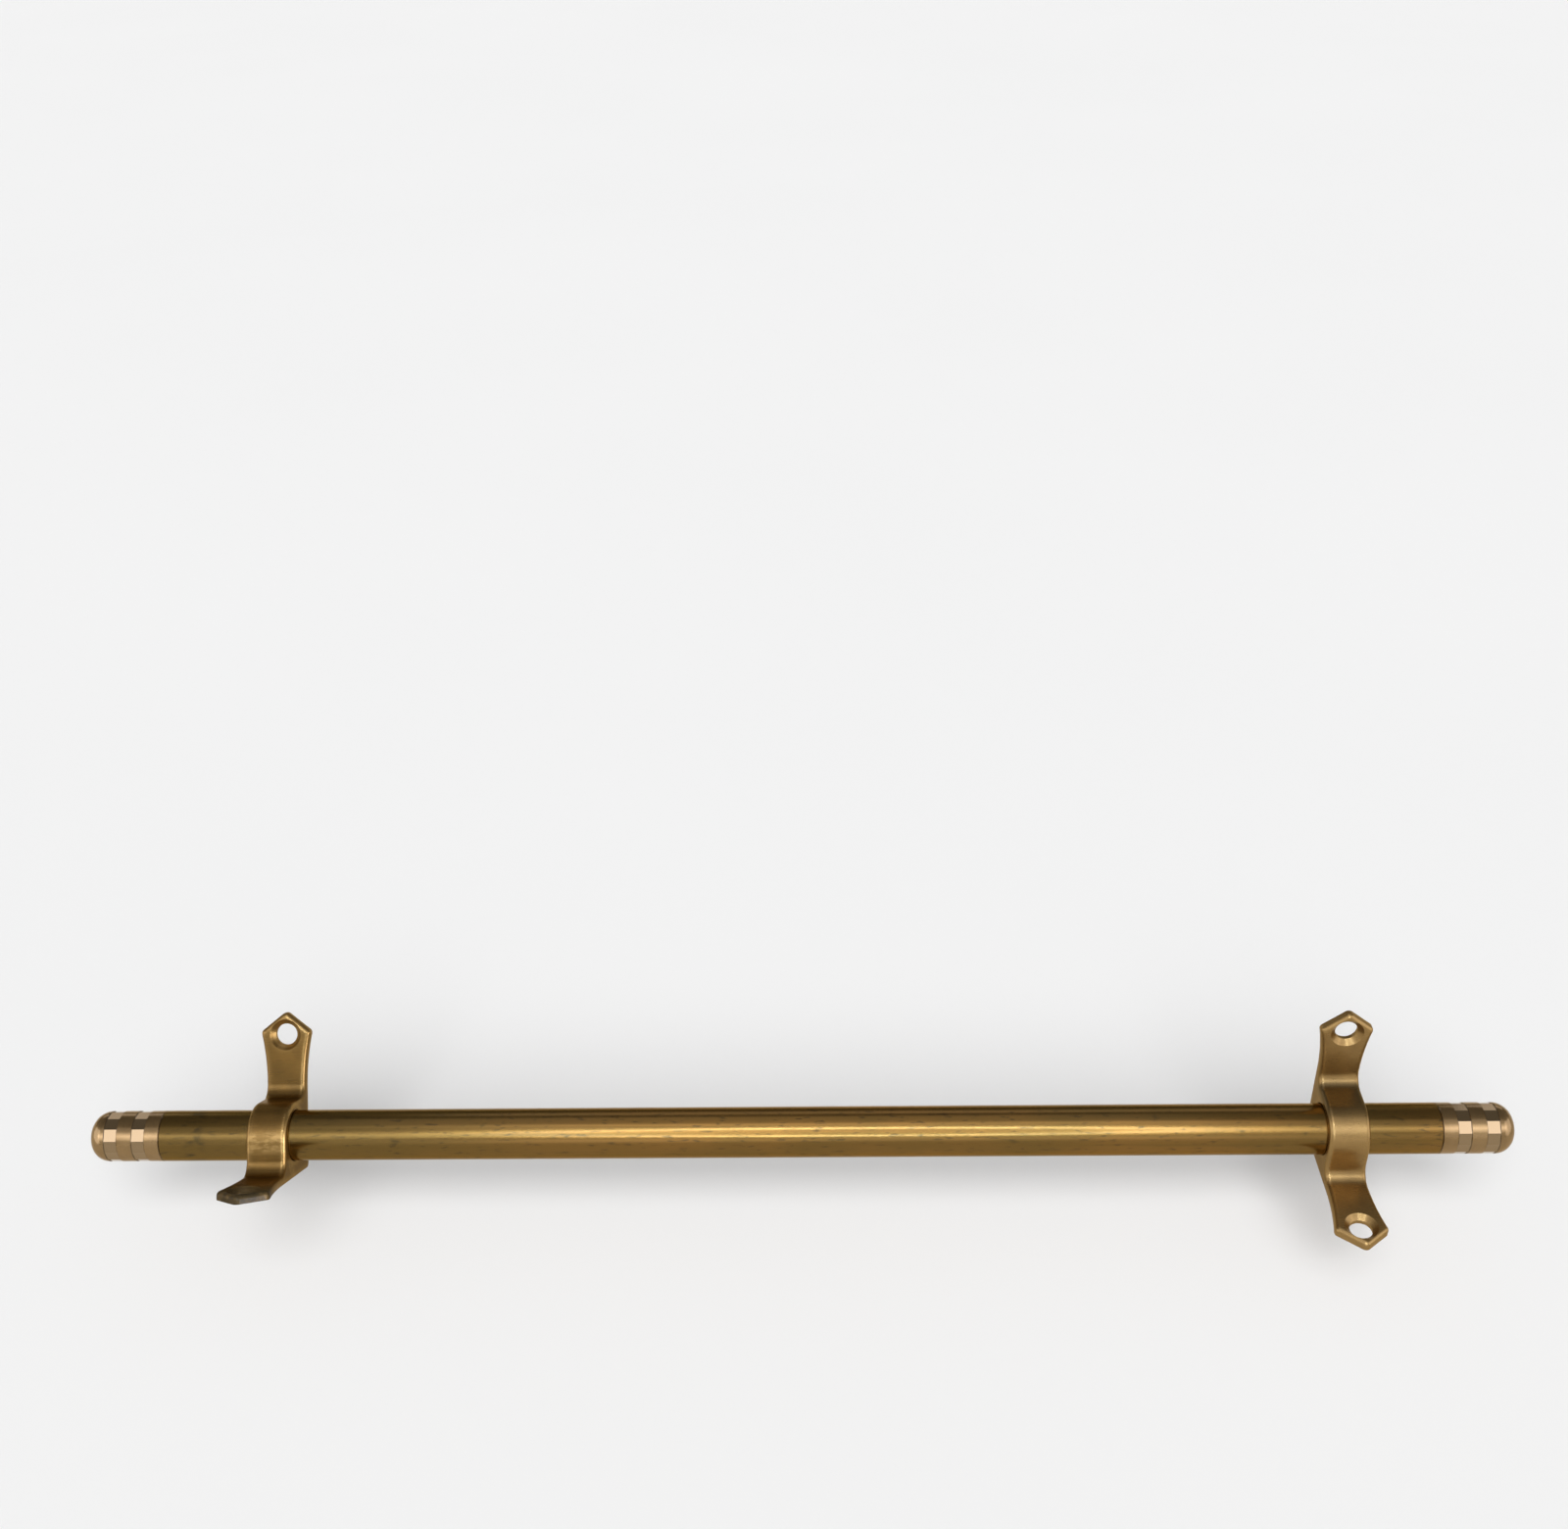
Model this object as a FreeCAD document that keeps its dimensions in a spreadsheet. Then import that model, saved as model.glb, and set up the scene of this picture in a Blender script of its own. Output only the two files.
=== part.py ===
import FreeCAD, Part
import math
import os
import Sketcher

# Stair carpet rod: a capped brass tube held in the corner of a step by two eye brackets.
# The rod runs along X with its axis through the origin at mid-length, +Y points back at the
# riser and +Z points up. Lengths are in millimetres and angles in degrees.

# Driving dimensions
DIMENSIONS = {
    # Tube
    "tube_diameter": 16.0,
    "tube_wall": 1.0,
    "tube_length": 406.0,
    "seam_chamfer": 0.25,
    # End caps, from the shoulder outwards: band, facet ring, band, facet ring, dome
    "spigot_length": 10.0,
    "spigot_play": 0.05,
    "band_length": 4.6,
    "facet_length": 4.3,
    "facet_count": 13,
    "facet_sink": 0.06,
    "facet_turn": 44.0,
    "dome_corner": 5.8,
    "dome_crown": 20.0,
    # Eye of a bracket
    "eye_play": 0.25,
    "eye_wall": 2.3,
    "stand_off": 13.0,
    "strap_width": 12.8,
    # Feet of a bracket: the screw from the rod's axis, the shoulders and the point from the screw
    "foot_thickness": 2.8,
    "foot_width": 16.6,
    "screw_reach": 30.8,
    "shoulder_offset": 1.0,
    "tip_offset": 7.6,
    "screw_hole": 7.0,
    "screw_head": 10.2,
    "screw_angle": 90.0,
    # Rounding of a bracket
    "bend_radius": 4.0,
    "back_round": 1.5,
    "corner_round": 1.7,
    "edge_round": 1.5,
    # Where the brackets stand on the rod: in from the ends of the tube
    "left_inset": 35.5,
    "right_inset": 29.5,
    "left_swivel": 33.4,
}

SHEET = "Sizes"


def cell(alias):
    """Expression text that reads one cell of the sheet."""
    return f"{SHEET}.{alias}"


# Sizes that follow from the driving dimensions, as expressions for the document
TUBE_RADIUS = f"{cell('tube_diameter')} / 2"
BORE_RADIUS = f"{cell('tube_diameter')} / 2 - {cell('tube_wall')}"
SPIGOT_RADIUS = f"{BORE_RADIUS} - {cell('spigot_play')}"
CAP_STRAIGHT = f"2 * {cell('band_length')} + 2 * {cell('facet_length')}"
FACET_HEIGHT = f"{TUBE_RADIUS} * cos(180deg / {cell('facet_count')}) - {cell('facet_sink')}"
EYE_BORE = f"{TUBE_RADIUS} + {cell('eye_play')}"
EYE_RADIUS = f"{EYE_BORE} + {cell('eye_wall')}"
FLARE_START = f"{EYE_RADIUS} + {cell('bend_radius')}"
FOOT_SHOULDER = f"{cell('screw_reach')} + {cell('shoulder_offset')}"
FOOT_TIP = f"{cell('screw_reach')} + {cell('tip_offset')}"
FOOT_FACE = f"{cell('stand_off')} - {cell('foot_thickness')}"
LEFT_REACH = f"{cell('left_inset')} - {cell('tube_length')} / 2"
RIGHT_REACH = f"{cell('tube_length')} / 2 - {cell('right_inset')}"

# The same sizes as numbers, for the first position of each sketch
size = DIMENSIONS
tube_radius = size["tube_diameter"] / 2
tube_bore = tube_radius - size["tube_wall"]
spigot_radius = tube_bore - size["spigot_play"]
cap_straight = 2 * size["band_length"] + 2 * size["facet_length"]
facet_height = tube_radius * math.cos(math.pi / size["facet_count"]) - size["facet_sink"]
eye_bore = tube_radius + size["eye_play"]
eye_radius = eye_bore + size["eye_wall"]
flare_start = eye_radius + size["bend_radius"]
foot_shoulder = size["screw_reach"] + size["shoulder_offset"]
foot_tip = size["screw_reach"] + size["tip_offset"]
foot_face = size["stand_off"] - size["foot_thickness"]

TOUCH = 1e-4
SHARP = 0.5
HALF_TURN = 180
FULL_TURN = 360
START, END, CENTRE = range(1, 4)
V_AXIS, H_AXIS = range(-2, 0)
ORIGIN_POINT = (H_AXIS, START)
X_DIRECTION = FreeCAD.Vector(1, 0, 0)
Y_DIRECTION = FreeCAD.Vector(0, 1, 0)
Z_DIRECTION = FreeCAD.Vector(0, 0, 1)

doc = FreeCAD.newDocument("stair_carpet_rod")


def make_sheet():
    """Put every driving dimension in its own named cell."""
    sheet = doc.addObject("Spreadsheet::Sheet", SHEET)
    for row, (alias, value) in enumerate(DIMENSIONS.items(), start=1):
        sheet.set(f"A{row}", alias)
        sheet.set(f"B{row}", str(value))
        sheet.setAlias(f"B{row}", alias)
    doc.recompute()


def point(across, up):
    """A point of a sketch."""
    return FreeCAD.Vector(across, up, 0)


def line(start, end):
    """A straight edge of a sketch."""
    return Part.LineSegment(start, end)


def arc(centre, radius, first_angle, last_angle):
    """A round edge of a sketch, counter-clockwise between two angles in radians."""
    circle = Part.Circle(centre, Z_DIRECTION, radius)
    return Part.ArcOfCircle(circle, first_angle, last_angle)


def new_body(label):
    """A body whose label names its file."""
    body = doc.addObject("PartDesign::Body", label)
    body.Label = label
    return body


def origin_feature(body, role):
    """The plane or axis of a body's own origin with the given role."""
    return next(item for item in body.Origin.OriginFeatures if item.Role == role)


def new_sketch(body, name, role, lift=None, turn=0):
    """A sketch on an origin plane, lifted along its normal by an expression and turned in the plane."""
    sketch = body.newObject("Sketcher::SketchObject", name)
    sketch.AttachmentSupport = [(origin_feature(body, role), "")]
    sketch.MapMode = "FlatFace"
    sketch.AttachmentOffset = FreeCAD.Placement(
        FreeCAD.Vector(), FreeCAD.Rotation(Z_DIRECTION, turn)
    )
    if lift:
        sketch.setExpression("AttachmentOffset.Base.z", lift)
    return sketch


def constrain(sketch, kind, *references):
    """Add one geometric constraint."""
    sketch.addConstraint(Sketcher.Constraint(kind, *references))


def measure(sketch, name, expression, kind, *references):
    """Add one dimension, named and bound to an expression. The last reference is its first value."""
    index = sketch.addConstraint(Sketcher.Constraint(kind, *references))
    sketch.renameConstraint(index, name)
    sketch.setExpression(f"Constraints.{name}", expression)


def join_ends(sketch, *pairs):
    """Make pairs of end points coincide, each pair written (edge, end, edge, end)."""
    for pair in pairs:
        constrain(sketch, "Coincident", *pair)


def edge_names(shape, wanted):
    """Names of the edges of a shape that a test picks out."""
    return [f"Edge{number}" for number, edge in enumerate(shape.Edges, start=1) if wanted(edge)]


def middle(edge):
    """The point half way along an edge."""
    return edge.valueAt((edge.FirstParameter + edge.LastParameter) / 2)


def along(edge, direction):
    """Whether an edge is straight and runs along a direction."""
    if edge.Degenerated or edge.Curve.TypeId != "Part::GeomLine":
        return False
    return edge.tangentAt(edge.FirstParameter).cross(direction).Length < TOUCH


def is_ring(edge, radius):
    """Whether an edge is a full circle of a given radius."""
    if edge.Degenerated or not edge.Closed:
        return False
    return edge.Curve.TypeId == "Part::GeomCircle" and abs(edge.Curve.Radius - radius) < TOUCH


def dress(body, kind, name, wanted, field, alias):
    """Round or bevel the edges of a body's tip that a test picks out, by one cell of the sheet."""
    doc.recompute()
    base = body.Tip
    feature = body.newObject(kind, name)
    feature.Base = (base, edge_names(base.Shape, wanted))
    feature.setExpression(field, cell(alias))
    doc.recompute()
    return feature


def place(body, expression):
    """Bind a body's place and turn."""
    body.setExpression("Placement", expression)


# Tube

def make_tube():
    """A drawn tube about X with a small bevel round each end."""
    body = new_body("tube")
    ring = new_sketch(body, "tube_ring", "YZ_Plane")
    for name, expression, radius in (
        ("outer", TUBE_RADIUS, tube_radius),
        ("inner", BORE_RADIUS, tube_bore),
    ):
        index = ring.addGeometry(Part.Circle(point(0, 0), Z_DIRECTION, radius), False)
        constrain(ring, "Coincident", index, CENTRE, *ORIGIN_POINT)
        measure(ring, name, expression, "Radius", index, radius)
    pad = body.newObject("PartDesign::Pad", "tube_length")
    pad.Profile = ring
    pad.SideType = "Symmetric"
    pad.setExpression("Length", cell("tube_length"))

    def outer_end(edge):
        return is_ring(edge, tube_radius)

    dress(body, "PartDesign::Chamfer", "tube_end_bevel", outer_end, "Size", "seam_chamfer")
    return body


# End caps

def draw_cap_profile(sketch):
    """Half section of a cap above its axis: spigot, shoulder, straight side, rounded dome."""
    corner = size["dome_corner"]
    crown = size["dome_crown"]
    spigot = size["spigot_length"]
    drop = tube_radius - corner
    lean = math.asin(drop / (crown - corner))
    crown_centre = cap_straight - (crown - corner) * math.cos(lean)
    dome_end = crown_centre + crown
    back, neck, shoulder, side, bend, nose, axis = sketch.addGeometry([
        line(point(-spigot, 0), point(-spigot, spigot_radius)),
        line(point(-spigot, spigot_radius), point(0, spigot_radius)),
        line(point(0, spigot_radius), point(0, tube_radius)),
        line(point(0, tube_radius), point(cap_straight, tube_radius)),
        arc(point(cap_straight, drop), corner, lean, math.pi / 2),
        arc(point(crown_centre, 0), crown, 0, lean),
        line(point(dome_end, 0), point(-spigot, 0)),
    ], False)
    join_ends(
        sketch,
        (back, END, neck, START),
        (neck, END, shoulder, START),
        (shoulder, END, side, START),
        (nose, START, axis, START),
        (axis, END, back, START),
    )
    constrain(sketch, "Tangent", side, END, bend, END)
    constrain(sketch, "Tangent", bend, START, nose, END)
    constrain(sketch, "Vertical", back)
    constrain(sketch, "Horizontal", neck)
    constrain(sketch, "Vertical", shoulder)
    constrain(sketch, "Horizontal", side)
    constrain(sketch, "PointOnObject", axis, START, H_AXIS)
    constrain(sketch, "PointOnObject", axis, END, H_AXIS)
    constrain(sketch, "PointOnObject", nose, CENTRE, H_AXIS)
    constrain(sketch, "PointOnObject", shoulder, START, V_AXIS)
    measure(sketch, "spigot", cell("spigot_length"), "DistanceX", neck, START, neck, END, spigot)
    measure(sketch, "plug", SPIGOT_RADIUS, "DistanceY", *ORIGIN_POINT, neck, START, spigot_radius)
    measure(sketch, "outside", TUBE_RADIUS, "DistanceY", *ORIGIN_POINT, side, START, tube_radius)
    measure(sketch, "straight", CAP_STRAIGHT, "DistanceX", side, START, side, END, cap_straight)
    measure(sketch, "corner", cell("dome_corner"), "Radius", bend, corner)
    measure(sketch, "crown", cell("dome_crown"), "Radius", nose, crown)


def draw_facet(sketch, name, start, start_expression):
    """Side view of one flat of a facet ring: the box above the flat that is cut away."""
    length = size["facet_length"]
    clear = 2 * tube_radius
    low_left = point(start, facet_height)
    low_right = point(start + length, facet_height)
    high_right = point(start + length, clear)
    high_left = point(start, clear)
    flat, out, top, back = sketch.addGeometry([
        line(low_left, low_right),
        line(low_right, high_right),
        line(high_right, high_left),
        line(high_left, low_left),
    ], False)
    join_ends(
        sketch,
        (flat, END, out, START),
        (out, END, top, START),
        (top, END, back, START),
        (back, END, flat, START),
    )
    for side, kind in ((flat, "Horizontal"), (out, "Vertical"), (top, "Horizontal"), (back, "Vertical")):
        constrain(sketch, kind, side)
    measure(sketch, f"{name}_start", start_expression, "DistanceX", *ORIGIN_POINT, flat, START, start)
    measure(sketch, f"{name}_length", cell("facet_length"), "DistanceX", flat, START, flat, END, length)
    measure(sketch, f"{name}_height", FACET_HEIGHT, "DistanceY", *ORIGIN_POINT, flat, START, facet_height)
    measure(sketch, f"{name}_clear", cell("tube_diameter"), "DistanceY", *ORIGIN_POINT, top, START, clear)


def make_cap(label, side):
    """A turned cap with two rings of flats. Side is 1 for the end at +X and -1 for the end at -X."""
    body = new_body(label)
    profile = new_sketch(body, f"{label}_profile", "XZ_Plane")
    draw_cap_profile(profile)
    turned = body.newObject("PartDesign::Revolution", f"{label}_turned")
    turned.Profile = profile
    turned.ReferenceAxis = (profile, ["H_Axis"])
    turned.Angle = FULL_TURN

    def shoulder_rim(edge):
        return is_ring(edge, tube_radius) and abs(middle(edge).x) < TOUCH

    dress(body, "PartDesign::Chamfer", f"{label}_seam_bevel", shoulder_rim, "Size", "seam_chamfer")

    flats = new_sketch(body, f"{label}_flats", "XZ_Plane")
    inner_start = size["band_length"]
    outer_start = 2 * size["band_length"] + size["facet_length"]
    draw_facet(flats, "inner", inner_start, cell("band_length"))
    draw_facet(flats, "outer", outer_start, f"2 * {cell('band_length')} + {cell('facet_length')}")
    cut = body.newObject("PartDesign::Pocket", f"{label}_flat_cut")
    cut.Profile = flats
    cut.SideType = "Symmetric"
    cut.Type = "ThroughAll"
    doc.recompute()
    ring = body.newObject("PartDesign::PolarPattern", f"{label}_flat_ring")
    ring.Originals = [cut]
    ring.Axis = (origin_feature(body, "X_Axis"), [""])
    ring.Angle = FULL_TURN
    ring.setExpression("Occurrences", cell("facet_count"))
    body.Tip = ring

    yaw = 0 if side > 0 else HALF_TURN
    place(
        body,
        f"placement(vector({side} * {cell('tube_length')} / 2; 0; 0); "
        f"rotation({yaw}; 0; {side} * {cell('facet_turn')}))",
    )
    return body


# Brackets

def draw_eye_section(sketch):
    """Section of the eye block: back and bottom faces on the step, round crest over the rod."""
    reach = size["stand_off"]
    back, top, crest, front, bottom = sketch.addGeometry([
        line(point(reach, -reach), point(reach, eye_radius)),
        line(point(reach, eye_radius), point(0, eye_radius)),
        arc(point(0, 0), eye_radius, math.pi / 2, math.pi),
        line(point(-eye_radius, 0), point(-eye_radius, -reach)),
        line(point(-eye_radius, -reach), point(reach, -reach)),
    ], False)
    join_ends(
        sketch,
        (back, END, top, START),
        (front, END, bottom, START),
        (bottom, END, back, START),
        (crest, CENTRE, *ORIGIN_POINT),
    )
    constrain(sketch, "Tangent", top, END, crest, START)
    constrain(sketch, "Tangent", crest, END, front, START)
    constrain(sketch, "Vertical", back)
    constrain(sketch, "Horizontal", top)
    constrain(sketch, "Vertical", front)
    constrain(sketch, "Horizontal", bottom)
    measure(sketch, "outside", EYE_RADIUS, "Radius", crest, eye_radius)
    measure(sketch, "to_riser", cell("stand_off"), "DistanceX", *ORIGIN_POINT, back, START, reach)
    measure(sketch, "to_tread", cell("stand_off"), "DistanceY", back, START, *ORIGIN_POINT, reach)


def draw_foot(sketch):
    """Outline of a foot: strap sides that flare in an arc to two shoulders and run to a point."""
    half_strap = size["strap_width"] / 2
    half_foot = size["foot_width"] / 2
    rise = foot_shoulder - flare_start
    spread = half_foot - half_strap
    flare_radius = (rise ** 2 + spread ** 2) / (2 * spread)
    sweep = math.asin(rise / flare_radius)
    flare_centre = half_strap + flare_radius
    tip = point(0, foot_tip)
    base, right, right_flare, right_point, left_point, left_flare, left = sketch.addGeometry([
        line(point(-half_strap, 0), point(half_strap, 0)),
        line(point(half_strap, 0), point(half_strap, flare_start)),
        arc(point(flare_centre, flare_start), flare_radius, math.pi - sweep, math.pi),
        line(point(half_foot, foot_shoulder), tip),
        line(tip, point(-half_foot, foot_shoulder)),
        arc(point(-flare_centre, flare_start), flare_radius, 0, sweep),
        line(point(-half_strap, flare_start), point(-half_strap, 0)),
    ], False)
    join_ends(
        sketch,
        (base, END, right, START),
        (right_flare, START, right_point, START),
        (right_point, END, left_point, START),
        (left_point, END, left_flare, END),
        (left, END, base, START),
    )
    constrain(sketch, "Tangent", right, END, right_flare, END)
    constrain(sketch, "Tangent", left_flare, START, left, START)
    constrain(sketch, "Vertical", right)
    constrain(sketch, "Vertical", left)
    constrain(sketch, "Symmetric", base, START, base, END, V_AXIS)
    constrain(sketch, "Symmetric", right_point, START, left_point, END, V_AXIS)
    constrain(sketch, "PointOnObject", right_point, END, V_AXIS)
    constrain(sketch, "PointOnObject", base, START, H_AXIS)
    constrain(sketch, "Horizontal", left, START, right, END)
    measure(sketch, "strap", cell("strap_width"), "DistanceX", base, START, base, END, 2 * half_strap)
    measure(
        sketch, "foot", cell("foot_width"),
        "DistanceX", left_point, END, right_point, START, 2 * half_foot,
    )
    measure(sketch, "flare", FLARE_START, "DistanceY", *ORIGIN_POINT, right, END, flare_start)
    measure(sketch, "shoulder", FOOT_SHOULDER, "DistanceY", *ORIGIN_POINT, right_point, START, foot_shoulder)
    measure(sketch, "tip", FOOT_TIP, "DistanceY", *ORIGIN_POINT, right_point, END, foot_tip)


def draw_screw_place(sketch):
    """The circle of a screw hole on the middle line of a foot."""
    radius = size["screw_hole"] / 2
    reach = size["screw_reach"]
    hole = sketch.addGeometry(Part.Circle(point(0, reach), Z_DIRECTION, radius), False)
    constrain(sketch, "PointOnObject", hole, CENTRE, V_AXIS)
    measure(sketch, "bore", f"{cell('screw_hole')} / 2", "Radius", hole, radius)
    measure(sketch, "reach", cell("screw_reach"), "DistanceY", *ORIGIN_POINT, hole, CENTRE, reach)


# The two feet of a bracket: the plane of each, and the turn that points its tip outwards
FEET = (
    ("riser", "XZ_Plane", 0),
    ("tread", "XY_Plane", HALF_TURN),
)


def is_bend(edge):
    """Whether an edge is the inner corner between the eye and a foot."""
    if not along(edge, X_DIRECTION):
        return False
    spot = middle(edge)
    upper = abs(spot.y - foot_face) < TOUCH and abs(spot.z - eye_radius) < TOUCH
    lower = abs(spot.y + eye_radius) < TOUCH and abs(spot.z + foot_face) < TOUCH
    return upper or lower


def is_back_corner(edge):
    """Whether an edge is the corner that points into the angle of the step."""
    spot = middle(edge)
    reach = size["stand_off"]
    return along(edge, X_DIRECTION) and abs(spot.y - reach) < TOUCH and abs(spot.z + reach) < TOUCH


def is_foot_corner(edge):
    """Whether an edge is a shoulder or the point of a foot, through its thickness."""
    spot = middle(edge)
    riser = along(edge, Y_DIRECTION) and spot.z > foot_shoulder - TOUCH
    tread = along(edge, Z_DIRECTION) and spot.y < TOUCH - foot_shoulder
    return riser or tread


def is_front_outline(shape):
    """A test for the edges where the front of a bracket meets its sides."""
    reach = size["stand_off"]

    def wanted(edge):
        spot = middle(edge)
        on_step = abs(spot.y - reach) < TOUCH or abs(spot.z + reach) < TOUCH
        on_bore = math.hypot(spot.y, spot.z) < eye_bore + TOUCH
        if on_step or on_bore:
            return False
        first, second = shape.ancestorsOfType(edge, Part.Face)
        first_normal = first.normalAt(*first.Surface.parameter(spot))
        second_normal = second.normalAt(*second.Surface.parameter(spot))
        return first_normal.cross(second_normal).Length > SHARP

    return wanted


def make_bracket(label, reach_expression, swivel_expression):
    """A cast bracket: an eye block with a foot on the riser, a foot on the tread and a screw in each."""
    body = new_body(label)
    section = new_sketch(body, f"{label}_eye_section", "YZ_Plane")
    draw_eye_section(section)
    eye = body.newObject("PartDesign::Pad", f"{label}_eye")
    eye.Profile = section
    eye.SideType = "Symmetric"
    eye.setExpression("Length", cell("strap_width"))

    for foot, plane, turn in FEET:
        outline = new_sketch(body, f"{label}_{foot}_outline", plane, f"-{cell('stand_off')}", turn)
        draw_foot(outline)
        pad = body.newObject("PartDesign::Pad", f"{label}_{foot}_foot")
        pad.Profile = outline
        pad.setExpression("Length", cell("foot_thickness"))

    bore = new_sketch(body, f"{label}_bore_circle", "YZ_Plane")
    circle = bore.addGeometry(Part.Circle(point(0, 0), Z_DIRECTION, eye_bore), False)
    constrain(bore, "Coincident", circle, CENTRE, *ORIGIN_POINT)
    measure(bore, "bore", EYE_BORE, "Radius", circle, eye_bore)
    pocket = body.newObject("PartDesign::Pocket", f"{label}_bore")
    pocket.Profile = bore
    pocket.SideType = "Symmetric"
    pocket.Type = "ThroughAll"

    dress(body, "PartDesign::Fillet", f"{label}_bends", is_bend, "Radius", "bend_radius")
    dress(body, "PartDesign::Fillet", f"{label}_foot_corners", is_foot_corner, "Radius", "corner_round")
    front = is_front_outline(body.Tip.Shape)
    dress(body, "PartDesign::Fillet", f"{label}_front_edges", front, "Radius", "edge_round")
    dress(body, "PartDesign::Fillet", f"{label}_back_corner", is_back_corner, "Radius", "back_round")

    for foot, plane, turn in FEET:
        spot = new_sketch(body, f"{label}_{foot}_screw_place", plane, f"-({FOOT_FACE})", turn)
        draw_screw_place(spot)
        doc.recompute()
        hole = body.newObject("PartDesign::Hole", f"{label}_{foot}_screw_hole")
        hole.Profile = spot
        hole.ThreadType = "None"
        hole.DepthType = "ThroughAll"
        hole.HoleCutType = "Countersink"
        hole.HoleCutCustomValues = True
        hole.setExpression("Diameter", cell("screw_hole"))
        hole.setExpression("HoleCutDiameter", cell("screw_head"))
        hole.setExpression("HoleCutCountersinkAngle", cell("screw_angle"))
        doc.recompute()

    place(
        body,
        f"placement(vector({reach_expression}; 0; 0); "
        f"rotation(vector(1; 0; 0); {swivel_expression}))",
    )
    return body


def write_parts(bodies):
    """Check the document and each solid, then write one file for each piece."""
    doc.recompute()
    for item in doc.Objects:
        if "Invalid" in item.State or "Error" in item.State:
            raise RuntimeError(f"{item.Label} did not build: {item.State}")
    for body in bodies:
        shape = body.Shape
        if shape.isNull() or not shape.isValid() or len(shape.Solids) != 1:
            raise RuntimeError(f"{body.Label} is not one valid solid")
    os.makedirs("parts", exist_ok=True)
    for body in bodies:
        body.Shape.exportStep(f"parts/{body.Label}.step")
        box = body.Shape.BoundBox
        print(f"{body.Label}: {body.Shape.Volume:.1f} mm3, x {box.XMin:.2f} to {box.XMax:.2f}, "
              f"y {box.YMin:.2f} to {box.YMax:.2f}, z {box.ZMin:.2f} to {box.ZMax:.2f}")


make_sheet()
write_parts([
    make_tube(),
    make_cap("end_cap_left", -1),
    make_cap("end_cap_right", 1),
    make_bracket("bracket_left", LEFT_REACH, f"-{cell('left_swivel')}"),
    make_bracket("bracket_right", RIGHT_REACH, "0"),
])
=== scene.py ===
"""Looks of a stair carpet rod: an aged brass tube with faceted caps in two cast eye brackets."""

import logging
import math
from dataclasses import dataclass, field
from enum import Enum
from typing import NamedTuple

import bmesh
import bpy
import numpy as np
from mathutils import Matrix, Vector


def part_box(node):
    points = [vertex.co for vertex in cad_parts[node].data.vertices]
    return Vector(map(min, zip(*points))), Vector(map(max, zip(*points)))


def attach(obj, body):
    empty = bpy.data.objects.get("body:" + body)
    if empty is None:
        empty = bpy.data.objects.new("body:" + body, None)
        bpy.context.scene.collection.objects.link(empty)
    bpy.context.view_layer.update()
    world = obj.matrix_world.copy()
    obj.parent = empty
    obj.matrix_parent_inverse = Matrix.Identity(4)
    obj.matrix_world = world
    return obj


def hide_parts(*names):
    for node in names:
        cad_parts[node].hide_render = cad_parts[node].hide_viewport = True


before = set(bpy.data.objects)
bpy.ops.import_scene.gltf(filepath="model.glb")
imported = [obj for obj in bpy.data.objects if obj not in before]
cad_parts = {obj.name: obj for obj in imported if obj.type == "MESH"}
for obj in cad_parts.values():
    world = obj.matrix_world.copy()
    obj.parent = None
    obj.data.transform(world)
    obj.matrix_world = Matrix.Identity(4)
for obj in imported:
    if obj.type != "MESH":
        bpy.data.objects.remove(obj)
log = logging.getLogger("stair_rod")

Socket = bpy.types.NodeSocket
Triple = tuple[float, float, float]
Colour = tuple[float, float, float]
Range = tuple[float, float]

MM = 0.001
FULL_TURN = 2.0 * math.pi
RIGHT_ANGLE_DEG = 90.0
MERGE_DISTANCE = 1e-7
FLAT_MARK = "burnished_flat"
SHADE_MARK = "seam_shade"
EDGE_TINT = (0.72, 0.56, 0.36, 1.0)
WHITE = (1.0, 1.0, 1.0, 1.0)
NONE_TO_ALL: Range = (0.0, 1.0)
ALL_TO_NONE: Range = (1.0, 0.0)


class Axis(Enum):
    """Axes of the object coordinates."""

    X = "X"
    Y = "Y"
    Z = "Z"


class Piece(Enum):
    """Names of the pieces of the finished model."""

    TUBE = "drawn_tube"
    CAP_LEFT = "faceted_cap_left"
    CAP_RIGHT = "faceted_cap_right"
    BRACKET_LEFT = "bracket_left"
    BRACKET_RIGHT = "bracket_right"


class End(Enum):
    """The two ends of the rod, with the sign of their side along X."""

    LEFT = -1
    RIGHT = 1

    @property
    def node(self) -> str:
        """Name of the cap's node at this end."""
        return f"end_cap_{self.name.lower()}"

    @property
    def cap(self) -> Piece:
        """The piece that stands for the cap at this end."""
        return Piece[f"CAP_{self.name}"]


# Meshes

def put_mesh(name: str, points: np.ndarray, faces: list, sharp_deg: float = 30.0) -> bpy.types.Object:
    """Make a smooth-shaded mesh object at the origin.

    Args:
        name: Name of the piece.
        points: Vertices in the row frame, in metres, as an array of rows of three.
        faces: Lists of vertex numbers.
        sharp_deg: Edges that turn by more than this angle stay sharp, in degrees.

    Returns:
        The new object, linked to the scene.
    """
    mesh = bpy.data.meshes.new(name)
    mesh.from_pydata(points.tolist(), [], faces)
    mesh.validate()
    mesh.shade_smooth()
    mesh.set_sharp_from_angle(angle=math.radians(sharp_deg))
    piece = bpy.data.objects.new(name, mesh)
    bpy.context.scene.collection.objects.link(piece)
    return piece


def paint_rows(piece: bpy.types.Object, mark: str, rows: np.ndarray, columns: int) -> None:
    """Store one value on every face of each row of a ring grid.

    Args:
        piece: The piece whose faces are counted row by row.
        mark: Name under which a finish reads the value.
        rows: Value of each row of faces.
        columns: Number of faces in a row.
    """
    values = np.repeat(rows, columns).astype(np.float32)
    piece.data.attributes.new(mark, "FLOAT", "FACE").data.foreach_set("value", values)


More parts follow.
